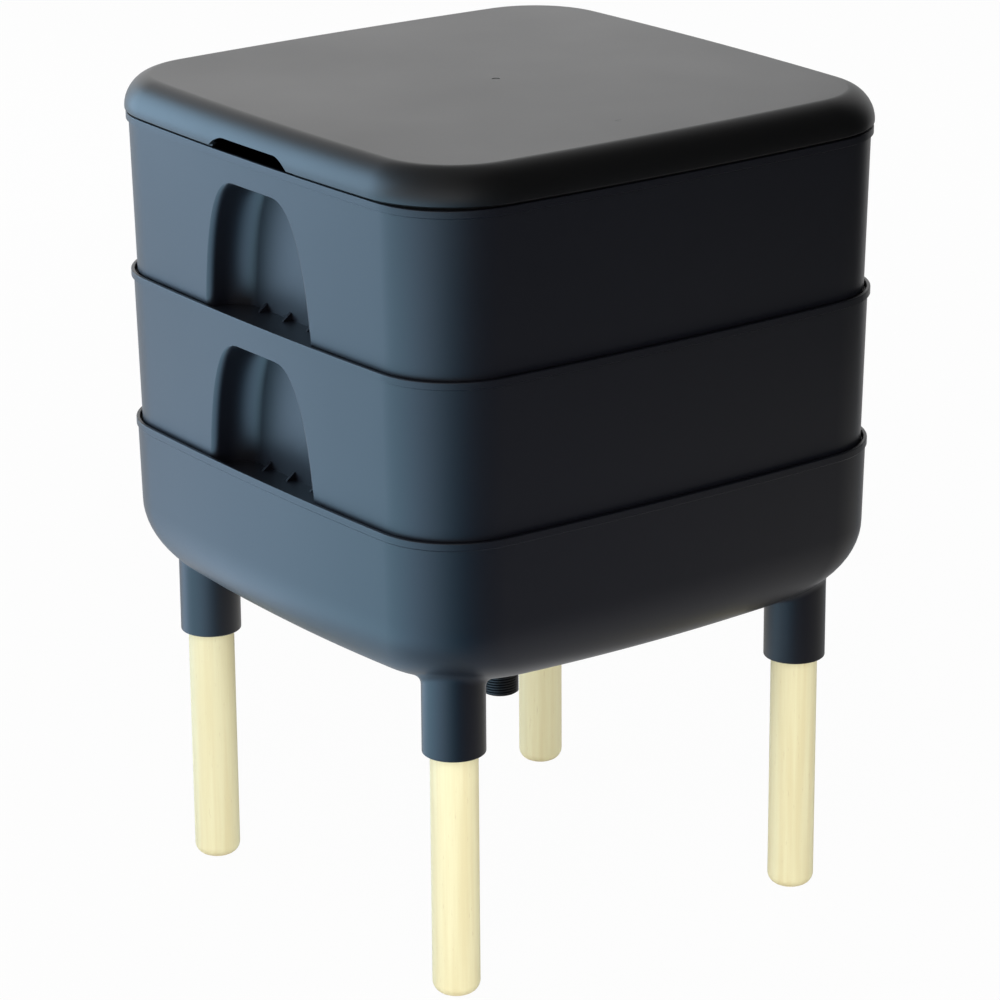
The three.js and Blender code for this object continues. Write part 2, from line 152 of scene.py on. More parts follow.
# %% [markdown]
# ## Cutting and joining
#
# A moulding is one skin minus the room inside it, with pockets, holes and ribs. A mould maker works
# the same way, with cores and cavities, so the solids are cut and joined with exact booleans. Every
# helper takes and gives back a bmesh, so that a piece reads as a short list of steps. Small solids are
# prisms, pushed along a line, or lathe work, spun round a vertical axis.

# %% Solids and cuts
def as_object(bm, name):
    mesh = bpy.data.meshes.new(name)
    bm.to_mesh(mesh)
    bm.free()
    made = bpy.data.objects.new(name, mesh)
    bpy.context.scene.collection.objects.link(made)
    return made


def combine(body, tool, operation):
    """The bmesh of body with tool cut from it, or joined to it. Both are used up."""
    target = as_object(body, "target")
    other = as_object(tool, "other")
    change = target.modifiers.new("change", "BOOLEAN")
    change.operation = operation
    change.solver = "EXACT"
    change.object = other
    bpy.context.view_layer.update()
    result = bmesh.new()
    result.from_object(target, bpy.context.evaluated_depsgraph_get())
    for used in (target, other):
        mesh = used.data
        bpy.data.objects.remove(used)
        bpy.data.meshes.remove(mesh)
    return result


def gather(*parts):
    """Several separate solids as one bmesh. They are used up."""
    result = bmesh.new()
    for part in parts:
        mesh = bpy.data.meshes.new("part")
        part.to_mesh(mesh)
        part.free()
        result.from_mesh(mesh)
        bpy.data.meshes.remove(mesh)
    return result


def placed(bm, offset=(0, 0, 0), spin=0.0):
    """A copy of a solid, turned about the vertical axis and then moved."""
    result = bm.copy()
    turned = Matrix.Translation(offset) @ Matrix.Rotation(spin, 4, "Z")
    bmesh.ops.transform(result, matrix=turned, verts=result.verts)
    return result


def both_sides(bm):
    """A solid and its copy half a turn round the vertical axis. The solid is used up."""
    pair = gather(placed(bm), placed(bm, spin=math.pi))
    bm.free()
    return pair


# %% Simple forms
def prism(bm, faces, move):
    """Pushes flat faces along move and closes the solid that they sweep."""
    far = bmesh.ops.extrude_face_region(bm, geom=faces)["geom"]
    bmesh.ops.translate(bm, verts=verts_in(far), vec=move)
    bmesh.ops.recalc_face_normals(bm, faces=bm.faces)
    return bm


def box(low, high):
    bm = bmesh.new()
    size = Vector(high) - Vector(low)
    middle = (Vector(high) + Vector(low)) / 2
    bmesh.ops.create_cube(bm, size=1, matrix=Matrix.Translation(middle) @ Matrix.Diagonal((*size, 1)))
    return bm


def disc(radius, low, high, sides=48, centre=(0, 0)):
    bm = bmesh.new()
    at = Matrix.Translation((*centre, low))
    bmesh.ops.create_circle(bm, cap_ends=True, radius=radius, segments=sides, matrix=at)
    return prism(bm, bm.faces[:], (0, 0, high - low))


def circle(bm, radius, z, sides, centre=(0, 0)):
    """Adds one round loop of edges and returns it."""
    at = Matrix.Translation((*centre, z))
    verts = bmesh.ops.create_circle(bm, radius=radius, segments=sides, matrix=at)["verts"]
    return list(dict.fromkeys(edge for vert in verts for edge in vert.link_edges))


def lathe(profile, centre=(0, 0), steps=56):
    """Spins an outline of (radius, height) pairs round a vertical axis into a closed solid."""
    bm = bmesh.new()
    verts = [bm.verts.new((centre[0] + radius, centre[1], z)) for radius, z in profile]
    edges = [bm.edges.new(pair) for pair in zip(verts, verts[1:])]
    bmesh.ops.spin(
        bm, geom=verts + edges, cent=(*centre, 0), axis=UP, angle=math.tau, steps=steps, use_merge=True
    )
    bmesh.ops.remove_doubles(bm, verts=bm.verts, dist=WELD)
    bmesh.ops.recalc_face_normals(bm, faces=bm.faces)
    return bm


def quarter_round(radius, steps=3):
    """A quarter circle from the side of an edge to its top, as pairs of inset and drop."""
    turns = [math.pi / 2 * i / steps for i in range(steps + 1)]
    return [(radius * (1 - math.cos(turn)), radius * (1 - math.sin(turn))) for turn in turns]


dome = lathe([(0, -1)] + [(1 - inset, -drop) for inset, drop in quarter_round(1)])
print("a coarse half ball has", len(dome.faces), "faces and the volume", round(dome.calc_volume(), 2))
dome.free()

# %% [markdown]
# ## Finished pieces
#
# A finished piece is shaded smooth, but sharper edges stay crisp. Large faces pull the normals towards
# their own, which keeps the walls even around a cut. Each piece takes the place of its own plain solid
# and moves with that solid's body.

# %% Finish a piece
CREASE = math.radians(32)


def piece(bm, name, body, node):
    """Finishes a solid as the shown piece for this CAD node, riding on a CAD body."""
    bmesh.ops.remove_doubles(bm, verts=bm.verts, dist=WELD)
    made = as_object(bm, name)
    made.data.shade_smooth()
    made.data.set_sharp_from_angle(angle=CREASE)
    level = made.modifiers.new("level", "WEIGHTED_NORMAL")
    level.keep_sharp = True
    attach(made, body)
    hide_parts(node)
    print(name, "has", len(made.data.polygons), "faces")
    return made


# %% [markdown]
# ## The plan that the trays and the bowl share
#
# The trays nest in each other and in the bowl, so they share one plan. It is drawn in evenly from the
# lip, which keeps the centres of the corner arcs where they are. The lip's width and the heights come
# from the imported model's boxes.

# %% The shared plan
CORNER_RADIUS = 57 * MM  # over the lip
SIDE_BOW = 3 * MM
DRAFT = math.tan(math.radians(1.4))
LIP_HEIGHT = 4.5 * MM
LIP_WALL = 2.4 * MM
LIP_ROUND = 0.6 * MM
LIP_ROUND_STEPS = 4
REST_GAP = 0.3 * MM  # between pieces that rest on each other
OVERRUN = 1 * MM  # how far a cut reaches past the face that it opens

tray_low, tray_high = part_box("upper_tray")
LIP_HALF = tray_high.x
TRAY_HEIGHT = tray_high.z - tray_low.z


def plan_hoop(bm, half, z):
    return hoop(bm, half, CORNER_RADIUS - (LIP_HALF - half), SIDE_BOW, z)


def plan_skin(levels):
    """A closed skin over hoops, given as pairs of half width and height."""
    bm = bmesh.new()
    skin(bm, [plan_hoop(bm, half, z) for half, z in levels])
    return bm


def lip_outside(top):
    """The outer levels of a lip, from its lower edge to its rounded top."""
    rounded = quarter_round(LIP_ROUND, LIP_ROUND_STEPS)
    return [(LIP_HALF, top - LIP_HEIGHT)] + [(LIP_HALF - inset, top - drop) for inset, drop in rounded]


def lip_inside(top):
    """The levels of the room inside a lip, which run out past its top."""
    half, chamfer = LIP_HALF - LIP_WALL, LIP_ROUND / 2
    return [
        (half, top - LIP_HEIGHT),
        (half, top - chamfer),
        (half + chamfer, top),
        (half + chamfer + OVERRUN, top + OVERRUN),
    ]


print("lip half, mm:", round(LIP_HALF / MM, 1), "tray height, mm:", round(TRAY_HEIGHT / MM, 1))

# %% [markdown]
# ## The tray's two skins
#
# A tray has a narrow foot that stands inside the rim below, a step, a wall with a little draft so that
# it leaves the mould, and a lip that hides the foot of the tray above. The outside and the room inside
# are each a skin over hoops.

# %% Tray skins
TRAY_WALL = 2.6 * MM
TRAY_FLOOR = 2.6 * MM
LIP_FLARE = 1.7 * MM  # how far the lip stands out from the wall
WALL_TOP_HALF = LIP_HALF - LIP_FLARE
LIP_BOTTOM = TRAY_HEIGHT - LIP_HEIGHT
FOOT_HEIGHT = 15 * MM
FOOT_STEP = 1.6 * MM
FOOT_EDGE = 3 * MM
FOOT_EDGE_STEPS = 5
WALL_LEVELS = 10


def tray_wall_half(height):
    return WALL_TOP_HALF - DRAFT * (LIP_BOTTOM - height)


def tray_outside():
    foot_half = tray_wall_half(0) - FOOT_STEP
    rounded = reversed(quarter_round(FOOT_EDGE, FOOT_EDGE_STEPS))
    levels = [(foot_half - inset, drop) for inset, drop in rounded]
    wall_bottom, wall_top = FOOT_HEIGHT + FOOT_STEP, LIP_BOTTOM - LIP_FLARE / 2
    levels.append((tray_wall_half(FOOT_HEIGHT) - FOOT_STEP, FOOT_HEIGHT))
    levels.append((tray_wall_half(FOOT_HEIGHT), wall_bottom))
    for i in range(1, WALL_LEVELS + 1):
        z = wall_bottom + (wall_top - wall_bottom) * i / WALL_LEVELS
        levels.append((tray_wall_half(z), z))
    return plan_skin(levels + lip_outside(TRAY_HEIGHT))


def tray_room():
    foot_half = tray_wall_half(0) - FOOT_STEP - TRAY_WALL
    rounded = reversed(quarter_round(FOOT_EDGE, FOOT_EDGE_STEPS))
    levels = [(foot_half - inset, TRAY_FLOOR + drop) for inset, drop in rounded]
    levels.append((tray_wall_half(FOOT_HEIGHT) - FOOT_STEP - TRAY_WALL, FOOT_HEIGHT))
    levels.append((tray_wall_half(FOOT_HEIGHT) - TRAY_WALL, FOOT_HEIGHT + FOOT_STEP + TRAY_WALL / 2))
    levels.append((WALL_TOP_HALF - TRAY_WALL, LIP_BOTTOM - LIP_FLARE))
    return plan_skin(levels + lip_inside(TRAY_HEIGHT))


print("foot, mm:", round(2 * (tray_wall_half(0) - FOOT_STEP) / MM, 1))

# %% [markdown]
# ## The hand recess
#
# Two opposite sides have a deep recess for the fingers. Its mouth is an arch on a flat floor, its side
# walls meet the outside in a soft roll that is tight at the crown, and it turns into the back wall in
# a wide curve. The arch is one Bezier curve and its mirror image, drawn again and smaller at each
# depth, which gives the rolls without a bevel. The wall leans and swells, so the recess is sheared and
# bent to lie along it, and the roll runs out of the wall without a crease.

# %% Recess solids
RECESS_DEPTH = 29 * MM
RECESS_HALF = 59.9 * MM  # at the floor, over the roll
CROWN_HALF = 22 * MM
CROWN_DROP = 19 * MM  # below the lip
ARCH_HANDLES = (0.93, 0.52), (0.77, 1)  # of the Bezier curve, as shares of half width and height
ARCH_POINTS = 20
ROLL = 5 * MM
CROWN_ROLL = 1.2 * MM
BACK_CURVE = 17 * MM
CROWN_CURVE = 5 * MM
TURN_STEPS = 9
PROUD = 0.04 * MM  # how far the mouth stands outside the wall, so that the cut is clean
RECESS_TOP = TRAY_HEIGHT - CROWN_DROP


def arch(bm, x, half, floor, height):
    """A closed arch across the Y axis, standing on z = floor."""
    foot = Vector((x, half, floor))
    crown = Vector((x, half * CROWN_HALF / RECESS_HALF, floor + height))
    handles = [Vector((x, half * width, floor + height * rise)) for width, rise in ARCH_HANDLES]
    rise = interpolate_bezier(foot, *handles, crown, ARCH_POINTS)
    fall = [Vector((x, -point.y, point.z)) for point in reversed(rise)]
    verts = [bm.verts.new(point) for point in rise + fall]
    return [bm.edges.new(pair) for pair in zip(verts, verts[1:] + verts[:1])]


def recess_steps(grow):
    """Triples of depth, inset at the sides and drop at the crown, from the mouth to the back."""
    turns = [math.pi / 2 * i / TURN_STEPS for i in range(TURN_STEPS + 1)]
    steps = [(0, ROLL, CROWN_ROLL)]
    if not grow:
        rolls = [(1 - math.cos(turn), math.sin(turn)) for turn in turns]
        steps = [(ROLL * into, ROLL * out, CROWN_ROLL * out) for into, out in rolls]
    back, deepest = BACK_CURVE + grow, RECESS_DEPTH - (LIP_HALF - WALL_TOP_HALF) + grow
    for turn in turns:
        share = 1 - math.cos(turn)
        depth = deepest - back * (1 - math.sin(turn))
        steps.append((depth, ROLL + back * share, CROWN_ROLL + CROWN_CURVE * share))
    return steps


def recess(floor, grow=0.0):
    """A recess in the -X wall, in the tray's own frame. grow puts the moulding's wall round it."""
    height = RECESS_TOP + grow - floor
    half = RECESS_HALF + grow
    face = -WALL_TOP_HALF - PROUD
    steps = recess_steps(grow)
    bm = bmesh.new()
    loops = [arch(bm, face - OVERRUN, half - steps[0][1], floor, height - steps[0][2])]
    for depth, inset, drop in steps:
        loops.append(arch(bm, face + depth, half - inset, floor, height - drop))
    skin(bm, loops)
    side_radius = (LIP_HALF - CORNER_RADIUS - SIDE_BOW) ** 2 / (2 * SIDE_BOW)
    for vert in bm.verts:
        fade = min(1.0, max(0.0, 1 - (vert.co.x - face) / RECESS_DEPTH))
        lean = DRAFT * (LIP_BOTTOM - max(vert.co.z, 0))
        vert.co.x += fade * (lean + vert.co.y**2 / (2 * side_radius))
    return bm


print("recess, mm:", [round(side / MM, 1) for side in (2 * RECESS_HALF, RECESS_TOP - FOOT_HEIGHT)])

# %% [markdown]
# ## Stiffeners, cores and floor holes
#
# Three small gussets stand where the recess floor meets its back wall. Below, the ledge is cored out
# between ribs, so that the plastic is equally thick. The worms climb through holes in the floor.

# %% Small features of a tray
GUSSET_PITCH = 26.5 * MM
GUSSET_HEIGHT = 5 * MM
GUSSET_LENGTH = 6.5 * MM
GUSSET_THICKNESS = 1.8 * MM
SIEVE_RADIUS = 3 * MM  # of a hole in the floor
SIEVE_PITCH = 44 * MM
SIEVE_LANDING = 0.5 * MM  # least floor between a hole and a recess wall
SIEVE_SIDES = 16


def gusset(y):
    back = RECESS_DEPTH - LIP_HALF
    buried = TRAY_WALL / 2
    outline = [
        (back - GUSSET_LENGTH, FOOT_HEIGHT),
        (back - GUSSET_LENGTH, FOOT_HEIGHT - buried),
        (back + buried, FOOT_HEIGHT - buried),
        (back + buried, FOOT_HEIGHT + GUSSET_HEIGHT),
        (back, FOOT_HEIGHT + GUSSET_HEIGHT),
    ]
    bm = bmesh.new()
    side = bm.faces.new([bm.verts.new((x, y - GUSSET_THICKNESS / 2, z)) for x, z in outline])
    return prism(bm, [side], (0, GUSSET_THICKNESS, 0))


def ledge_cores():
    outer = TRAY_WALL + FOOT_STEP - tray_wall_half(0)
    inner = RECESS_DEPTH - LIP_HALF - TRAY_WALL
    end = RECESS_HALF - ROLL - BACK_CURVE
    ribs = [-end, -GUSSET_PITCH, 0, GUSSET_PITCH, end]
    cores = []
    for low, high in zip(ribs, ribs[1:]):
        low_y = low + (GUSSET_THICKNESS / 2 if low > -end else 0)
        high_y = high - (GUSSET_THICKNESS / 2 if high < end else 0)
        cores.append(box((outer, low_y, -OVERRUN), (inner, high_y, FOOT_HEIGHT - TRAY_WALL)))
    return gather(*cores)


def floor_holes():
    reach = LIP_HALF - RECESS_DEPTH - TRAY_WALL - SIEVE_RADIUS - SIEVE_LANDING
    rows = int(reach // SIEVE_PITCH)
    steps = [step * SIEVE_PITCH for step in range(-rows, rows + 1)]
    low, high = -OVERRUN, TRAY_FLOOR + OVERRUN
    print("floor holes:", len(steps) ** 2)
    return gather(*[disc(SIEVE_RADIUS, low, high, SIEVE_SIDES, (x, y)) for x in steps for y in steps])


# %% [markdown]
# ## One mould, two trays
#
# Both trays come from the same mould, so each piece is a copy of one mesh at its own node's height.

# %% Make the trays
def tray_solid():
    room = combine(tray_room(), both_sides(recess(-OVERRUN, TRAY_WALL)), "DIFFERENCE")
    body = combine(tray_outside(), room, "DIFFERENCE")
    pockets = both_sides(gather(recess(FOOT_HEIGHT), ledge_cores()))
    body = combine(body, gather(pockets, floor_holes()), "DIFFERENCE")
    gussets = gather(*[gusset(step * GUSSET_PITCH) for step in (-1, 0, 1)])
    return combine(body, both_sides(gussets), "UNION")


tray = tray_solid()
trays = []
for node in ("lower_tray", "upper_tray"):
    low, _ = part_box(node)
    trays.append(piece(placed(tray, (0, 0, low.z)), node + "_moulding", node, node))
tray.free()

# %% [markdown]
# ## The bowl
#
# The bowl's wall turns under in a quarter of an ellipse, which flows into a floor that falls to a sump
# in the middle. Its corners grow rounder as they turn under. The same rule, drawn in by the wall's
# thickness, gives the room inside.

# %% Bowl skins
RIM_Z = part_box("base_bowl")[1].z
BOWL_WALL = 2.6 * MM
BOWL_FLARE = 1 * MM
BOWL_TOP_HALF = LIP_HALF - BOWL_FLARE
WALL_DROP = 51.5 * MM
WALL_SHARES = (0.33, 0.66, 1)
UNDER_WIDTH = 43 * MM  # the wall turns under over this width and this height
UNDER_HEIGHT = 52 * MM
UNDER_STEPS = 14
FLOOR_SLOPE = math.tan(math.radians(19.5))
FLOOR_STEPS = 6
SUMP_HALF = 34 * MM
SUMP_BOW = 0.5 * MM
SUMP_FLAT = 2 * MM  # the sump falls this far short of a full circle
CORNER_GROWTH = 0.3
BOW_GROWTH = 0.05


def bowl_skin(inset):
    """The bowl's outside at inset 0, or its inside at the wall's thickness, and the sump's height."""
    under_top = RIM_Z - LIP_HEIGHT - WALL_DROP
    wall_half = BOWL_TOP_HALF - DRAFT * WALL_DROP
    middle = wall_half - UNDER_WIDTH

    def turned(width, height, angle):
        return middle + width * math.cos(angle), under_top - height * math.sin(angle)

    outer_end = math.atan2(UNDER_HEIGHT, UNDER_WIDTH * FLOOR_SLOPE)
    outer_half, outer_z = turned(UNDER_WIDTH, UNDER_HEIGHT, outer_end)
    sump_z = outer_z - (outer_half - SUMP_HALF) * FLOOR_SLOPE + inset
    width, height = UNDER_WIDTH - inset, UNDER_HEIGHT - inset
    end = math.atan2(height, width * FLOOR_SLOPE)
    end_half, end_z = turned(width, height, end)
    sump_half = end_half - (end_z - sump_z) / FLOOR_SLOPE

    def radius_at(half):
        drawn = wall_half - inset - half
        return CORNER_RADIUS - (LIP_HALF - wall_half) - inset + CORNER_GROWTH * drawn

    def bow_at(half):
        return SIDE_BOW + BOW_GROWTH * (wall_half - inset - half)

    bm = bmesh.new()
    loops = []
    for i in range(FLOOR_STEPS):
        share = i / FLOOR_STEPS
        half = sump_half + (end_half - sump_half) * share
        radius = (sump_half - SUMP_FLAT) * (1 - share) + radius_at(end_half) * share
        bow = SUMP_BOW * (1 - share) + bow_at(end_half) * share
        loops.append(hoop(bm, half, radius, bow, sump_z + (end_z - sump_z) * share))
    for i in range(UNDER_STEPS + 1):
        half, z = turned(width, height, end * (1 - i / UNDER_STEPS))
        loops.append(hoop(bm, half, radius_at(half), bow_at(half), z))
    wall_height = RIM_Z - LIP_HEIGHT - BOWL_FLARE - under_top
    for share in WALL_SHARES:
        half = wall_half + (BOWL_TOP_HALF - wall_half) * share - inset
        loops.append(plan_hoop(bm, half, under_top + wall_height * share))
    for half, z in lip_inside(RIM_Z) if inset else lip_outside(RIM_Z):
        loops.append(plan_hoop(bm, half, z))
    skin(bm, loops)
    return bm, sump_z


outside, BOWL_BOTTOM = bowl_skin(0)
inside, _ = bowl_skin(BOWL_WALL)
outside.normal_update()
outside_tree = BVHTree.FromBMesh(outside)
print("lowest face of the bowl, mm:", round(BOWL_BOTTOM / MM, 1))

# %% [markdown]
# ## Leg sockets that flow into the bowl
#
# Four sockets hang under the bowl's corners. They run up inside as columns, on which the lower tray
# stands. A small fillet leads from each socket to the wall, whose height differs all round it, so a
# ray is cast up at each point of a ring to find it. The fillet's rings follow a quadratic curve.

# %% Socket sizes
legs = {name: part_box(name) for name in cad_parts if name.startswith("leg_")}
leg_low, leg_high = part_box("leg_front_left")
LEG_PLACE = -(leg_low.x + leg_high.x) / 2
LEG_RADIUS = 15.2 * MM
LEG_LENGTH = leg_high.z - leg_low.z
LEG_FIT = 0.3 * MM
RIB_COUNT = 4
RIB_THICKNESS = 1.6 * MM
RIB_DEPTH = 1.6 * MM
SOCKET_BORE = LEG_RADIUS + LEG_FIT + RIB_DEPTH
SOCKET_RADIUS = SOCKET_BORE + 3 * MM
SOCKET_TOP = LEG_LENGTH + REST_GAP
SOCKET_MOUTH = SOCKET_TOP - 126.8 * MM
COLUMN_TOP = SOCKET_TOP + 3 * MM
SOCKET_EDGE = 0.9 * MM
SOCKET_SIDES = 64
FILLET = 5 * MM
FILLET_STEPS = 6
FILLET_BURIED = 0.02 * MM  # how far its outer edge stands in the wall, so that the union is clean
SLOPE_STEP = 2 * MM
print("socket, mm:", round(2 * SOCKET_RADIUS / MM, 1), "wide, from z =", round(SOCKET_MOUTH / MM, 1))


# %% Socket solids
def wall_over(point):
    """The height at which a ray straight up from the floor meets the bowl."""
    return outside_tree.ray_cast(Vector((point.x, point.y, 0)), UP)[0].z


def column(x, y):
    """One socket with its rounded lower edge, its fillet against the bowl, and its column."""
    bm = bmesh.new()
    axis = Vector((x, y, 0))

    def ring(radius, z=SOCKET_TOP):
        return circle(bm, radius, z, SOCKET_SIDES, (x, y))

    rounded = quarter_round(SOCKET_EDGE)
    loops = [ring(SOCKET_RADIUS - inset, SOCKET_MOUTH + drop) for inset, drop in reversed(rounded)]
    for i in range(FILLET_STEPS + 1):
        share = i / FILLET_STEPS
        loops.append(ring(SOCKET_RADIUS))
        for vert in verts_of(loops[-1]):
            out = Vector((vert.co.x - x, vert.co.y - y, 0)).normalized()
            near, far = axis + out * SOCKET_RADIUS, axis + out * (SOCKET_RADIUS + FILLET)
            far.z = wall_over(far)
            slope = (far.z - wall_over(far - out * SLOPE_STEP)) / SLOPE_STEP
            near.z = far.z - slope * FILLET
            start = near - UP * FILLET
            end = far + UP * FILLET_BURIED
            vert.co = start * (1 - share) ** 2 + near * 2 * share * (1 - share) + end * share**2
    for radius in (SOCKET_RADIUS + FILLET, SOCKET_RADIUS):
        loops.append(ring(radius))
        for vert in verts_of(loops[-1]):
            vert.co.z = wall_over(vert.co) + BOWL_WALL / 2
    loops += [ring(SOCKET_RADIUS - inset, COLUMN_TOP - drop) for inset, drop in rounded]
    skin(bm, loops)
    return bm


def socket_bore():
    """The blind bore for a leg, less the ribs that grip it."""
    bore = disc(SOCKET_BORE, SOCKET_MOUTH - OVERRUN, SOCKET_TOP, SOCKET_SIDES)
    low = (LEG_RADIUS + LEG_FIT, -RIB_THICKNESS / 2, SOCKET_MOUTH)
    rib = box(low, (SOCKET_RADIUS, RIB_THICKNESS / 2, SOCKET_TOP + OVERRUN))
    ribs = gather(*[placed(rib, spin=i * math.tau / RIB_COUNT) for i in range(RIB_COUNT)])
    rib.free()
    return combine(bore, ribs, "DIFFERENCE")


# %% Make the bowl
THREAD_RADIUS = 12.4 * MM
HOLE_RADIUS = THREAD_RADIUS + 0.3 * MM
HOLE_SIDES = 64
places = [(side_x * LEG_PLACE, side_y * LEG_PLACE) for side_x in (-1, 1) for side_y in (-1, 1)]
shell = combine(outside, inside, "DIFFERENCE")
shell = combine(shell, gather(*[column(x, y) for x, y in places]), "UNION")
bore = socket_bore()
drain_hole = disc(HOLE_RADIUS, BOWL_BOTTOM - OVERRUN, BOWL_BOTTOM + BOWL_WALL + OVERRUN, HOLE_SIDES)
bores = gather(*[placed(bore, (x, y, 0)) for x, y in places], drain_hole)
bore.free()
bowl = piece(combine(shell, bores, "DIFFERENCE"), "bowl_moulding", "bowl", "base_bowl")

# %% [markdown]
# ## The lid
#
# The lid is flat with one broad rounded edge, a touch flatter than an ellipse, over a short straight
# skirt. Underneath, a thin ring drops inside the tray's wall, and a finger notch is cut in the skirt
# over each recess. In the middle of the top is the small round mark that the mould's gate leaves.

# %% Lid sizes
lid_low, lid_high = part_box("lid")
LID_Z, LID_TOP = tray_high.z + REST_GAP, lid_high.z
LID_HALF = lid_high.y
LID_CORNER = 65.8 * MM
LID_WALL = 2.6 * MM
SKIRT_HEIGHT = 3.8 * MM
EDGE_WIDTH = 17.9 * MM
EDGE_HEIGHT = LID_TOP - LID_Z - SKIRT_HEIGHT
EDGE_POWER = 2 / 1.86  # an ellipse would have 1
EDGE_STEPS = 18
BEAD_WIDTH = 6 * MM
BEAD_HEIGHT = 3 * MM
LID_EDGE = 0.35 * MM
SEAT_HALF = LIP_HALF - 1.2 * MM
SEAT_FLARE = 0.5 * MM
SEAM_HEIGHT = 2.1 * MM
SEAM_CHAMFER = 0.2 * MM
NOTCH_HEIGHT = 9.1 * MM
NOTCH_HALF = 45 * MM
NOTCH_TOP_HALF = 27 * MM
NOTCH_SHIFT = -3 * MM
NOTCH_RELIEF = 6 * MM
NOTCH_POINTS = 12
LOCATOR_FIT = 0.7 * MM
LOCATOR_WALL = 2 * MM
GATE_RADIUS = 2.6 * MM
GATE_DEPTH = 0.25 * MM
print("lid, mm:", round(2 * LID_HALF / MM, 1), "across,", round((LID_TOP - LID_Z) / MM, 1), "high")


# %% Lid solids
def lid_skin(inset, bottom):
    """The lid's outside at inset 0, or its inside at the wall's thickness."""
    bm = bmesh.new()

    def level(half, z):
        return hoop(bm, half, LID_CORNER - (LID_HALF - half), SIDE_BOW, z)

    middle = LID_HALF - EDGE_WIDTH
    width, height = EDGE_WIDTH - inset, EDGE_HEIGHT - inset
    if inset:
        loops = [level(LID_HALF - BEAD_WIDTH, z) for z in (bottom, LID_Z + BEAD_HEIGHT)]
    else:
        ledge = bottom + SEAM_HEIGHT
        loops = [level(SEAT_HALF, bottom), level(SEAT_HALF + SEAT_FLARE, ledge - SEAM_CHAMFER)]
        rounded = reversed(quarter_round(LID_EDGE))
        loops += [level(LID_HALF - drawn, ledge + drop) for drawn, drop in rounded]
    for i in range(EDGE_STEPS + 1):
        turn = math.pi / 2 * i / EDGE_STEPS
        half = middle + width * math.cos(turn) ** EDGE_POWER
        loops.append(level(half, LID_Z + SKIRT_HEIGHT + height * math.sin(turn) ** EDGE_POWER))
    skin(bm, loops)
    return bm


def notch():
    """The cutter for a finger notch in the -X skirt: a flat-topped arch, extruded inwards."""
    x = -LID_HALF - OVERRUN
    foot = Vector((x, NOTCH_HALF, LID_Z))
    top = Vector((x, NOTCH_TOP_HALF, LID_Z + NOTCH_HEIGHT))
    shoulder = Vector((x, (NOTCH_HALF + NOTCH_TOP_HALF) / 2, top.z))
    handles = foot.lerp(shoulder, 2 / 3), top.lerp(shoulder, 2 / 3)  # as for a quadratic curve
    outline = [foot - UP * OVERRUN] + interpolate_bezier(foot, *handles, top, NOTCH_POINTS)
    outline += [Vector((point.x, -point.y, point.z)) for point in reversed(outline)]
    bm = bmesh.new()
    side = bm.faces.new([bm.verts.new(point) for point in outline])
    bmesh.ops.translate(bm, verts=bm.verts, vec=(0, NOTCH_SHIFT, 0))
    return prism(bm, [side], (BEAD_WIDTH + NOTCH_RELIEF / 2 + OVERRUN, 0, 0))


def locator():
    """The ring under the lid, open beside the finger notches."""
    outer = WALL_TOP_HALF - TRAY_WALL - LOCATOR_FIT
    inner = outer - LOCATOR_WALL
    low, high = lid_low.z - OVERRUN, LID_TOP + OVERRUN
    ring = plan_skin([(outer, lid_low.z), (outer, LID_TOP)])
    ring = combine(ring, plan_skin([(inner, low), (inner, high)]), "DIFFERENCE")
    gap = NOTCH_HALF + NOTCH_RELIEF
    ring = combine(ring, box((-LID_HALF, -gap, low), (LID_HALF, gap, high)), "DIFFERENCE")
    return combine(ring, lid_skin(LID_WALL / 2, low), "INTERSECT")


# %% Make the lid
shell = combine(lid_skin(0, LID_Z), lid_skin(LID_WALL, LID_Z - OVERRUN), "DIFFERENCE")
shell = combine(shell, locator(), "UNION")
cuts = gather(both_sides(notch()), disc(GATE_RADIUS, LID_TOP - GATE_DEPTH, LID_TOP + OVERRUN))
lid = piece(combine(shell, cuts, "DIFFERENCE"), "lid_moulding", "lid", "lid")

# %% [markdown]
# ## The legs
#
# Each leg is a plain dowel, rounded at the floor and lightly broken at the top, spun from its outline.

# %% Make the legs
LEG_ROUND = 8 * MM
LEG_ROUND_STEPS = 8
LEG_TOP_EDGE = 1 * MM

dowels = []
for name, (low, high) in sorted(legs.items()):
    foot, top = quarter_round(LEG_ROUND, LEG_ROUND_STEPS), quarter_round(LEG_TOP_EDGE)
    outline = [(LEG_RADIUS - inset, low.z + drop) for inset, drop in reversed(foot)]
    outline += [(LEG_RADIUS - inset, high.z - drop) for inset, drop in top]
    centre = ((low.x + high.x) / 2, (low.y + high.y) / 2)
    solid = lathe([(0, low.z)] + outline + [(0, high.z)], centre)
    dowels.append(piece(solid, name + "_dowel", "bowl", name))

# %% [markdown]
# ## The drain fitting
#
# The black stub is a threaded fitting with a flange inside the bowl, two rubber washers and a nut. The
# thread is one ramp: the outline of a turn climbs by one pitch as it is spun, so that each turn's end is
# the next one's start. Flat cuts trim both ends. Bridges lead on to the bore and the flange, but a cut
# has more edges than a ring, so its own bridge leaves gaps.

# %% The screw thread
THREAD_PITCH = 1.8 * MM
THREAD_DEPTH = 0.9 * MM
THREAD_SIDES = 48
THREAD_RUNOUT = 2  # turns past the stub's end, which the cut takes away
TOOTH = [(0, 0), (0, 0.2), (1, 0.45), (1, 0.6), (0, 0.95), (0, 1)]  # shares of depth and pitch


def everything(bm):
    return bm.verts[:] + bm.edges[:] + bm.faces[:]


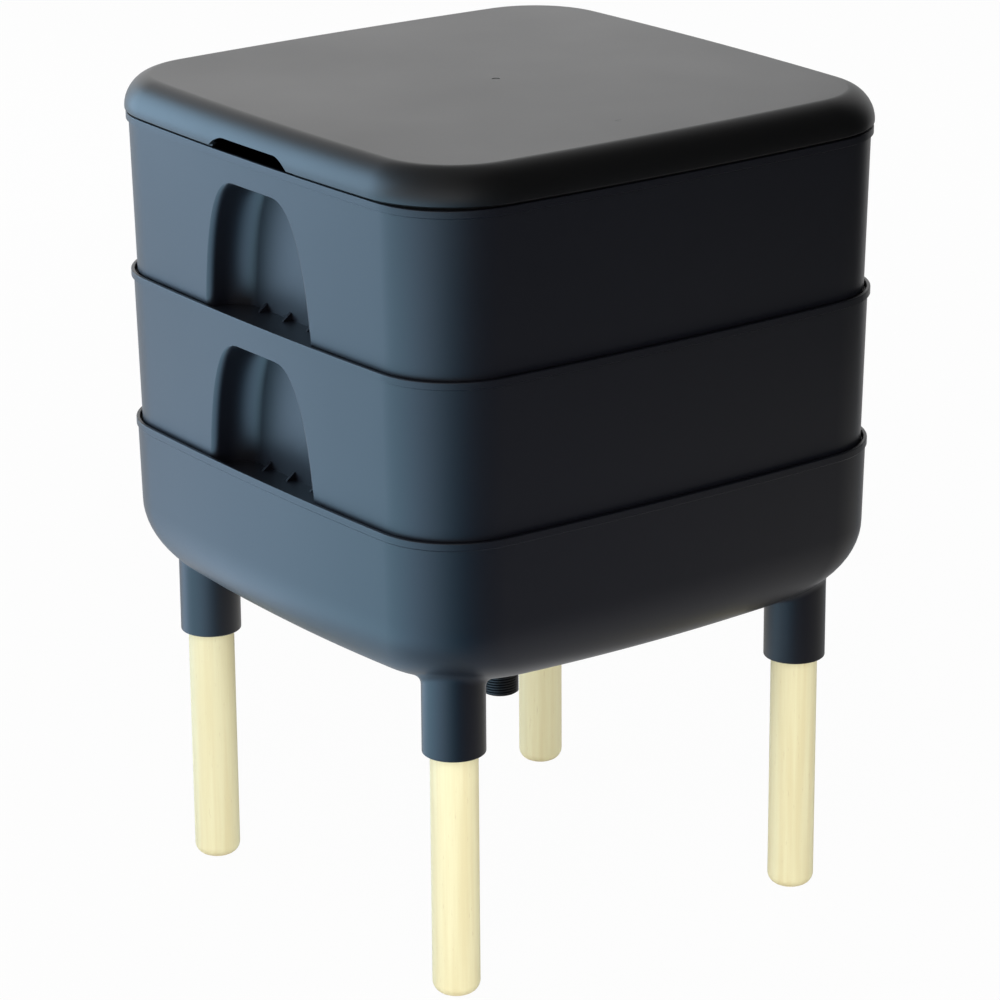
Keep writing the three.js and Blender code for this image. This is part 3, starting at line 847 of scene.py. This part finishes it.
def thread(root, begin, low, high):
    """An open tube of thread that starts at begin and is then cut flat at low and high."""
    bm = bmesh.new()
    turns = math.ceil((high - begin) / THREAD_PITCH)
    verts = [bm.verts.new((root + out * THREAD_DEPTH, 0, begin + up * THREAD_PITCH)) for out, up in TOOTH]
    edges = [bm.edges.new(pair) for pair in zip(verts, verts[1:])]
    round_axis = {"cent": (0, 0, 0), "axis": UP}
    climb = (0, 0, THREAD_PITCH / THREAD_SIDES)
    bmesh.ops.spin(bm, geom=verts + edges, **round_axis, dvec=climb, angle=math.tau, steps=THREAD_SIDES)
    climb = {"dvec": (0, 0, THREAD_PITCH), "angle": 0, "steps": turns}
    bmesh.ops.spin(bm, geom=everything(bm), **round_axis, **climb, use_duplicate=True)
    bmesh.ops.remove_doubles(bm, verts=bm.verts, dist=WELD)
    for height, side in ((low, -1), (high, 1)):
        bmesh.ops.bisect_plane(
            bm, geom=everything(bm), plane_co=(0, 0, height), plane_no=(0, 0, side), clear_outer=True
        )
    return bm


def flat_loop(bm, z):
    """The edges that lie flat at one height."""
    return [edge for edge in bm.edges if all(abs(vert.co.z - z) < WELD for vert in edge.verts)]


# %% Make the spigot
BORE_RADIUS = 8.5 * MM
FLANGE_RADIUS = 20 * MM
FLANGE_THICKNESS = 3 * MM
FITTING_EDGE = 0.8 * MM
MOUTH_EDGE = 0.3 * MM
END_INSET = 0.4 * MM  # the stub's flat end lies this far inside the thread's root


def spigot_solid():
    low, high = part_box("drain_spigot")
    flange_z = high.z - FLANGE_THICKNESS
    thread_z = low.z + FITTING_EDGE
    root = THREAD_RADIUS - THREAD_DEPTH
    bm = thread(root, low.z - THREAD_RUNOUT * THREAD_PITCH, thread_z, flange_z)
    mouth, end = flat_loop(bm, thread_z), flat_loop(bm, flange_z)

    def rings(*levels):
        return [circle(bm, radius, z, THREAD_SIDES) for radius, z in levels]

    below = rings(
        (root - END_INSET, low.z), (BORE_RADIUS + MOUTH_EDGE, low.z), (BORE_RADIUS, low.z + MOUTH_EDGE)
    )
    above = rings(
        (FLANGE_RADIUS, flange_z),
        (FLANGE_RADIUS, high.z - FITTING_EDGE),
        (FLANGE_RADIUS - FITTING_EDGE, high.z),
        (BORE_RADIUS + FITTING_EDGE, high.z),
        (BORE_RADIUS, high.z - FITTING_EDGE),
    )
    for loops in ([mouth] + below, [end] + above + [below[-1]]):
        for first, second in zip(loops, loops[1:]):
            bmesh.ops.bridge_loops(bm, edges=first + second)
    bmesh.ops.recalc_face_normals(bm, faces=bm.faces)
    return bm


spigot = piece(spigot_solid(), "drain_spigot_threaded", "bowl", "drain_spigot")

# %% Make the nut, the washers and the stopper
NUT_FLATS = 36 * MM
NUT_SIDES = 6
NUT_CHAMFER = 1.2 * MM
NUT_CLEAR = 0.1 * MM
SEAL_EDGE = 0.4 * MM
STOPPER_WALL = 2 * MM
STOPPER_EDGE = 1 * MM


def nut_solid():
    low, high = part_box("drain_nut")
    corner = NUT_FLATS / 2 / math.cos(math.pi / NUT_SIDES)
    narrow, wide = corner - NUT_CHAMFER, corner + NUT_CLEAR
    outline = [(0, low.z), (narrow, low.z), (wide, low.z + NUT_CHAMFER)]
    outline += [(wide, high.z - NUT_CHAMFER), (narrow, high.z), (0, high.z)]
    hexagon = disc(corner, low.z, high.z, NUT_SIDES)
    hexagon = combine(hexagon, lathe(outline, steps=HOLE_SIDES), "INTERSECT")
    return combine(hexagon, disc(HOLE_RADIUS, low.z - OVERRUN, high.z + OVERRUN, HOLE_SIDES), "DIFFERENCE")


def washer_solid(node):
    low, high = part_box(node)
    outline = [(HOLE_RADIUS, low.z), (high.x - SEAL_EDGE, low.z), (high.x, low.z + SEAL_EDGE)]
    outline += [(high.x, high.z - SEAL_EDGE), (high.x - SEAL_EDGE, high.z)]
    return lathe(outline + [(HOLE_RADIUS, high.z), (HOLE_RADIUS, low.z)])


def stopper_solid():
    low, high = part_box("drain_plug")
    inner, roof = high.x - STOPPER_WALL, high.z - STOPPER_WALL
    outline = [(0, roof), (inner, roof), (inner, low.z), (high.x, low.z)]
    outline += [(high.x, high.z - STOPPER_EDGE), (high.x - STOPPER_EDGE, high.z), (0, high.z)]
    return lathe(outline)


nut = piece(nut_solid(), "drain_nut_hexagon", "bowl", "drain_nut")
washers = []
for node in ("drain_washer_upper", "drain_washer_lower"):
    washers.append(piece(washer_solid(node), node + "_ring", "bowl", node))
stopper = piece(stopper_solid(), "drain_stopper", "drain_plug", "drain_plug")

# %% [markdown]
# ## Shader maths in Python
#
# This small class wraps a socket, so that `0.4 + 0.1 * grain` adds the Math nodes by itself, and any
# other node is one call.

# %% A socket that does sums
class Shade:
    def __init__(self, tree, socket=None):
        self.tree = tree
        self.socket = socket

    def node(self, kind, settings=None, inputs=None, output=0):
        """Adds a node, sets its settings, fills or links its sockets and returns one output."""
        made = self.tree.nodes.new(kind)
        for name, value in (settings or {}).items():
            if name == "stops":
                ramp = made.color_ramp.elements
                while len(ramp) < len(value):
                    ramp.new(1)
                for element, (place, colour) in zip(ramp, value):
                    element.position = place
                    element.color = (*colour, 1)
            else:
                setattr(made, name, value)
        for name, value in (inputs or {}).items():
            if isinstance(value, Shade):
                self.tree.links.new(value.socket, made.inputs[name])
            else:
                made.inputs[name].default_value = value
        return Shade(self.tree, made.outputs[output])

    def sum_of(self, operation, first, second):
        return self.node("ShaderNodeMath", {"operation": operation}, {0: first, 1: second})

    def __add__(self, other):
        return self.sum_of("ADD", self, other)

    def __radd__(self, other):
        return self.sum_of("ADD", other, self)

    def __sub__(self, other):
        return self.sum_of("SUBTRACT", self, other)

    def __rsub__(self, other):
        return self.sum_of("SUBTRACT", other, self)

    def __mul__(self, other):
        return self.sum_of("MULTIPLY", self, other)

    def __rmul__(self, other):
        return self.sum_of("MULTIPLY", other, self)

    def mix(self, low, high):
        """The colour low where this value is 0 and high where it is 1."""
        blend = {"data_type": "RGBA"}
        ends = {0: self, 6: (*low, 1) if isinstance(low, tuple) else low}
        ends[7] = (*high, 1) if isinstance(high, tuple) else high
        return self.node("ShaderNodeMix", blend, ends, 2)


# %% Materials and their parts
def material(name):
    """A new material, its Principled shader and a Shade on its object coordinates."""
    made = bpy.data.materials.new(name)
    made.use_nodes = True
    tree = made.node_tree
    surface = tree.nodes["Principled BSDF"]
    coordinates = Shade(tree).node("ShaderNodeTexCoord", output="Object")
    return made, surface, coordinates


def link(shade, surface, name):
    shade.tree.links.new(shade.socket, surface.inputs[name])


def noise(at, scale, detail=2.0, roughness=0.5):
    inputs = {"Vector": at, "Scale": scale, "Detail": detail, "Roughness": roughness}
    return at.node("ShaderNodeTexNoise", None, inputs)


def scaled(at, scale):
    """The coordinates times a scale along each axis, which stretches a noise along a small one."""
    return at.node("ShaderNodeMapping", None, {"Vector": at, "Scale": scale})


def steep(value, low, high, start=0.0, end=1.0):
    """start below low, end above high and smooth between."""
    ends = {"Value": value, "From Min": low, "From Max": high, "To Min": start, "To Max": end}
    return value.node("ShaderNodeMapRange", {"interpolation_type": "SMOOTHSTEP"}, ends)


def roughen(surface, height, strength, depth):
    """Lets a height pattern of this depth tilt the surface's normals."""
    bump = height.node("ShaderNodeBump", None, {"Strength": strength, "Distance": depth, "Height": height})
    link(bump, surface, "Normal")


# %% [markdown]
# ## Moulded plastic
#
# The mouldings are a dark navy plastic with an even satin. Three things keep it from looking like
# paint: the mould's spark-eroded texture breaks up the highlight, the gloss drifts over a hand's width,
# and the colour is never perfectly even. A few short pale scuffs show where pieces have rubbed.

# %% Plastic
PLASTIC_IOR = 1.49
SATIN = 0.42
SCUFF_PALER = 3.2  # times the pale colour


def moulded_plastic(name, colour, pale):
    made, surface, at = material(name)
    drift = noise(at, 7.0, 3.0)
    fine = noise(at, 1500.0, 2.0, 0.6)
    orange_peel = noise(at, 120.0, 1.0)
    scuff = steep(noise(scaled(at, (1, 1, 5)), 55.0, 4.0), 0.74, 0.80)
    base = drift.mix(colour, pale)
    base = (scuff * 0.35).mix(base, tuple(SCUFF_PALER * part for part in pale))
    link(base, surface, "Base Color")
    link(SATIN - 0.04 + 0.08 * drift + 0.05 * fine + 0.1 * scuff, surface, "Roughness")
    roughen(surface, fine * 0.6 + orange_peel * 0.4, 0.22, 0.05 * MM)
    surface.inputs["IOR"].default_value = PLASTIC_IOR
    return made


body_plastic = moulded_plastic("navy_moulded_plastic", (0.0032, 0.0036, 0.0064), (0.0040, 0.0045, 0.0078))
# Painted reflection: the lid is the same navy plastic, but this copy is neutral grey and darker, standing
# in for the neutral sheen that its top reflects.
lid_plastic_painted_reflection = moulded_plastic("lid_plastic_painted_neutral_tint", (0.0026, 0.0025, 0.0027), (0.0034, 0.0033, 0.0035))
print("plastics:", body_plastic.name, "and", lid_plastic_painted_reflection.name)

# %% [markdown]
# ## Wood, thread and rubber
#
# The dowels are a pale, straight-grained hardwood, left bare. Grain runs along the dowel, so the noise
# is stretched along the vertical axis: long fibres, a slow change of colour between the growth layers,
# and fine short pores. The foot shows end grain, which is darker. The fitting is smoother and blacker
# than the mouldings, and the seals are dull.

# %% Wood
EARLY_WOOD, LATE_WOOD = (0.87, 0.83, 0.54), (0.81, 0.74, 0.45)
FIBRE_SHADE, PORE_SHADE, END_SHADE = (0.72, 0.585, 0.31), (0.56, 0.42, 0.22), (0.58, 0.45, 0.24)
FIBRE_STRETCH, PORE_STRETCH = (1, 1, 0.035), (1, 1, 0.12)
END_LOW, END_HIGH = 1 * MM, 7 * MM


def dowel_wood():
    made, surface, at = material("pale_dowel_wood")
    stretched = scaled(at, FIBRE_STRETCH)
    layers = noise(stretched, 190.0, 2.0)
    fibres = noise(stretched, 1100.0, 3.0, 0.6)
    pores = steep(noise(scaled(at, PORE_STRETCH), 900.0, 2.0), 0.66, 0.78)
    height = at.node("ShaderNodeSeparateXYZ", None, {"Vector": at}, "Z")
    end_grain = 1 - steep(height, END_LOW, END_HIGH)
    colour = steep(layers, 0.3, 0.7).mix(EARLY_WOOD, LATE_WOOD)
    colour = (fibres * 0.30).mix(colour, FIBRE_SHADE)
    colour = (pores * 0.35).mix(colour, PORE_SHADE)
    colour = (end_grain * 0.30).mix(colour, END_SHADE)
    link(colour, surface, "Base Color")
    link(0.55 + 0.12 * fibres, surface, "Roughness")
    roughen(surface, fibres * 0.5 - pores * 0.5, 0.35, 0.08 * MM)
    return made


wood = dowel_wood()
print("wood:", wood.name)


# %% Fitting plastic and rubber
def plain_finish(name, dark, pale, patches, gloss, bump):
    made, surface, at = material(name)
    drift = noise(at, *patches)
    link(drift.mix(dark, pale), surface, "Base Color")
    link(gloss[0] + gloss[1] * drift, surface, "Roughness")
    grain, strength, depth = bump
    roughen(surface, noise(at, grain), strength, depth)
    print("finish:", name)
    return made


fitting = plain_finish(
    "black_fitting_plastic",
    (0.0018, 0.0019, 0.0028),
    (0.003, 0.0032, 0.0042),
    patches=(60.0, 2.0),
    gloss=(0.30, 0.12),
    bump=(900.0, 0.15, 0.03 * MM),
)
rubber = plain_finish(
    "seal_rubber",
    (0.012, 0.012, 0.013),
    (0.024, 0.024, 0.025),
    patches=(150.0, 4.0),
    gloss=(0.72, 0.15),
    bump=(700.0, 0.3, 0.05 * MM),
)

# %% [markdown]
# ## Giving each piece its finish
#
# The table also lists the record's material slot for each group, which nothing here uses.

# %% Assign the finishes
FINISHES = [
    (trays + [bowl], body_plastic, "body_plastic"),
    ([lid], lid_plastic_painted_reflection, "body_plastic"),
    (dowels, wood, "leg_wood"),
    ([spigot, nut], fitting, "fitting_plastic"),
    (washers + [stopper], rubber, "seal_rubber"),
]
for pieces, look, slot in FINISHES:
    for made in pieces:
        made.data.materials.clear()
        made.data.materials.append(look)
    print(look.name, "on", len(pieces), "pieces")

# %% [markdown]
# ## Camera
#
# The photograph was taken from well back with a long lens, a little above the lid. The camera looks at
# a point on the object's axis and leans by a hair.

# %% Camera
VIEW_AZIMUTH = math.radians(-36.53)
VIEW_ELEVATION = math.radians(18.775)
VIEW_ROLL = math.radians(-0.39)
VIEW_DISTANCE = 2.733
VIEW_TARGET = Vector((0, 0, 0.2607))
FOCAL_PIXELS = 4176.2
FRAME_PIXELS = 1000
SENSOR_MM = 36
SHIFT_RIGHT = 0.0012  # share of the frame

camera = bpy.data.objects.new("camera", bpy.data.cameras.new("camera"))
bpy.context.scene.collection.objects.link(camera)
back = Vector((
    math.sin(VIEW_AZIMUTH) * math.cos(VIEW_ELEVATION),
    -math.cos(VIEW_AZIMUTH) * math.cos(VIEW_ELEVATION),
    math.sin(VIEW_ELEVATION),
))
camera.location = VIEW_TARGET + back * VIEW_DISTANCE
facing = (-back).to_track_quat("-Z", "Y").to_matrix().to_4x4()
camera.matrix_world = Matrix.Translation(camera.location) @ facing @ Matrix.Rotation(VIEW_ROLL, 4, "Z")
camera.data.sensor_width = SENSOR_MM
camera.data.lens = SENSOR_MM * FOCAL_PIXELS / FRAME_PIXELS
camera.data.shift_x = SHIFT_RIGHT
bpy.context.scene.camera = camera
print("camera at", [round(value, 3) for value in camera.location])

# %% [markdown]
# ## Stage and light
#
# The floor is white to the camera and in reflections, but it takes the object's shadow and lights the
# object only as a pale sheet would.
#
# Dark satin plastic shows mostly the room. So the lamps do two jobs apart. The fills and the key light
# the wood evenly and aren't mirrored. The cool window and the cards are only mirrored. On the left the
# cards glow blue, round the front corner the glow falls off, and on the right they are nearly black,
# which keeps the walls there dark. The cards cast no shadow, and the camera doesn't see them.

# %% Floor and world
FLOOR_RADIUS = 9
FLOOR_SIDES = 96
FLOOR_SHADE = 0.88
SHOWN_SHARE = 0.96
SKY_LOW, SKY_HIGH = 1.0, 0.3  # strength at the horizon and overhead
SKY_BEGIN, SKY_END = 0.15, 0.75  # where it changes, as the sine of the height angle


def white_floor():
    made = bpy.data.materials.new("white_floor")
    made.use_nodes = True
    tree = made.node_tree
    tree.nodes.remove(tree.nodes["Principled BSDF"])
    start = Shade(tree)
    kinds = "Is Camera Ray", "Is Glossy Ray", "Is Transmission Ray"
    rays = [start.node("ShaderNodeLightPath", output=kind) for kind in kinds]
    shown = start.node("ShaderNodeClamp", None, {0: rays[0] + rays[1] + rays[2]})
    paper = start.node("ShaderNodeBsdfDiffuse", None, {"Color": (FLOOR_SHADE, FLOOR_SHADE, FLOOR_SHADE, 1)})
    white = start.node("ShaderNodeEmission", None, {"Color": (1, 1, 1, 1), "Strength": 1.0})
    both = start.node("ShaderNodeMixShader", None, {0: shown * SHOWN_SHARE, 1: paper, 2: white})
    tree.links.new(both.socket, tree.nodes["Material Output"].inputs["Surface"])
    return made


floor_bm = bmesh.new()
bmesh.ops.create_circle(floor_bm, cap_ends=True, radius=FLOOR_RADIUS, segments=FLOOR_SIDES)
floor = as_object(floor_bm, "floor")
floor.data.materials.append(white_floor())
floor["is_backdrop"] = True

world = bpy.data.worlds.new("studio")
bpy.context.scene.world = world
world.use_nodes = True
sky = world.node_tree.nodes["Background"]
sky.inputs["Color"].default_value = (1, 1, 1, 1)
direction = Shade(world.node_tree).node("ShaderNodeTexCoord", output="Generated")
rise = direction.node("ShaderNodeSeparateXYZ", None, {"Vector": direction}, "Z")
link(steep(rise, SKY_BEGIN, SKY_END, SKY_LOW, SKY_HIGH), sky, "Strength")
print("floor, m:", 2 * FLOOR_RADIUS, "across")

# %% Shapes and colours of the cards
LEFT_BEGIN, FRONT, NEAR_END, RIGHT_END = 118, 248, 350, 365  # degrees round from +X
LEFT_PROFILE = [(0.36, 0.004), (0.7, 0.006), (1.4, 0.06), (1.9, 0.35)]  # radius, height
NEAR_PROFILE = [(0.12, 0.003), (0.42, 0.003)]
RIGHT_PROFILE = [
    (0.42, 0.004), (0.7, 0.006), (1.4, 0.06), (2.0, 0.8), (2.0, 1.7), (1.4, 2.5), (0.8, 2.9),
]
LEFT_STOPS = [  # degrees, colour
    (118, (2.3, 3.2, 4.2)), (131, (2.1, 2.9, 3.9)), (142, (1.3, 2.1, 2.75)), (150, (1.15, 2.1, 2.7)),
    (165, (1.55, 2.75, 3.6)), (177, (1.65, 2.8, 3.8)), (188, (1.5, 2.5, 3.5)), (199, (1.35, 2.1, 2.9)),
    (210, (0.95, 1.6, 2.2)), (220, (0.50, 1.0, 1.45)), (231, (0.05, 0.40, 0.62)),
    (242, (0.0, 0.12, 0.30)), (248, (0.0, 0.08, 0.18)),
]
RIGHT_STOPS = [
    (248, (0.0, 0.08, 0.18)), (258, (0.13, 0.14, 0.18)), (290, (0.23, 0.22, 0.25)),
    (306, (0.36, 0.35, 0.35)), (330, (0.50, 0.49, 0.46)), (359, (0.7, 0.7, 0.7)),
]
NEAR_STOPS = [
    (118, (0.9, 1.15, 1.4)), (175, (0.75, 1.05, 1.35)), (200, (0.6, 0.85, 1.1)),
    (225, (0.35, 0.48, 0.62)), (250, (0.38, 0.40, 0.46)), (300, (0.46, 0.45, 0.45)),
    (350, (0.6, 0.6, 0.6)),
]
CARDS = [  # name, profile, begin, end, stops, goes dark far out
    ("blue", LEFT_PROFILE, LEFT_BEGIN, FRONT, LEFT_STOPS, False),
    ("near", NEAR_PROFILE, LEFT_BEGIN, NEAR_END, NEAR_STOPS, False),
    ("dark", RIGHT_PROFILE, FRONT, RIGHT_END, RIGHT_STOPS, True),
]
print("cards:", [name for name, *_ in CARDS])

# %% Cards that only reflections show
GLOW = 5  # emission strength, by which the colours are divided
DARK_BEGIN, DARK_END = 0.8, 1.3  # radii
CARD_STEPS = 24


def card_cloth(name, stops, far_dark):
    """A cloth whose glow changes round the object, and goes dark far out if far_dark is set."""
    made, surface, at = material(name)
    settings = {"gradient_type": "RADIAL"}
    turn = at.node("ShaderNodeTexGradient", settings, {"Vector": scaled(at, (-1, -1, 1))}, 1)
    ramp = [(degrees / 360, tuple(part / GLOW for part in colour)) for degrees, colour in stops]
    glow = at.node("ShaderNodeValToRGB", {"stops": ramp}, {"Fac": turn})
    if far_dark:
        reach = at.node("ShaderNodeVectorMath", {"operation": "LENGTH"}, {0: at}, 1)
        glow = steep(reach, DARK_BEGIN, DARK_END).mix(glow, (0, 0, 0))
    link(glow, surface, "Emission Color")
    surface.inputs["Emission Strength"].default_value = GLOW
    surface.inputs["Base Color"].default_value = (0, 0, 0, 1)
    surface.inputs["Roughness"].default_value = 1
    return made


def card(name, profile, begin, end, cloth):
    """A sheet spun round the object."""
    bm = bmesh.new()
    turn = Matrix.Rotation(math.radians(begin), 3, "Z")
    verts = [bm.verts.new(turn @ Vector((radius, 0, z))) for radius, z in profile]
    edges = [bm.edges.new(pair) for pair in zip(verts, verts[1:])]
    span = math.radians(end - begin)
    bmesh.ops.spin(bm, geom=verts + edges, cent=(0, 0, 0), axis=UP, angle=span, steps=CARD_STEPS)
    made = as_object(bm, name)
    made.data.materials.append(cloth)
    made.visible_camera = False
    made.visible_diffuse = False
    made.visible_shadow = False
    made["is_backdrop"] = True
    print(name, "runs from", begin, "to", end, "degrees")


for name, profile, begin, end, stops, far_dark in CARDS:
    card(name + "_card", profile, begin, end, card_cloth(name + "_cloth", stops, far_dark))

# %% Lamps
WINDOW = (-1.5, 1.89, 0.9), (0, 0, 0.4), (2.4, 1.8)  # place, point that it faces, size
LAMPS = [  # name, place and so on, watts, colour, the rays that don't see it
    ("window", WINDOW, 78, (0.40, 0.70, 1.0), "diffuse"),
    ("left_fill", WINDOW, 66, (0.92, 0.96, 1.0), "glossy"),
    ("key", ((-1.25, -1.45, 1.75), (0, 0, 0.25), (1, 1)), 12, (1.0, 0.97, 0.92), "glossy"),
    ("low_fill", ((-1.05, -1.45, 0.3), (0.1, 0.1, 0.12), (1.6, 0.5)), 11, (1.0, 0.97, 0.93), "glossy"),
    ("back_light", ((0.9, 2.35, 1.4), (0, 0, 0.5), (2.5, 1.2)), 9, (1.0, 1.0, 1.0), "camera"),
]
for name, (place, aim, size), watts, colour, blind in LAMPS:
    data = bpy.data.lights.new(name, "AREA")
    data.shape = "RECTANGLE"
    data.size, data.size_y = size
    data.energy = watts
    data.color = colour
    lamp = bpy.data.objects.new(name, data)
    bpy.context.scene.collection.objects.link(lamp)
    lamp.location = place
    lamp.rotation_euler = (Vector(aim) - Vector(place)).to_track_quat("-Z", "Y").to_euler()
    lamp.visible_camera = False
    setattr(lamp, "visible_" + blind, False)
    print(name, "has", watts, "watts")

# %% Write the sizes and finish
bpy.context.scene.view_settings.view_transform = "Standard"
low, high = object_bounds()
print("visual, mm:", [round(side / MM, 1) for side in high - low])
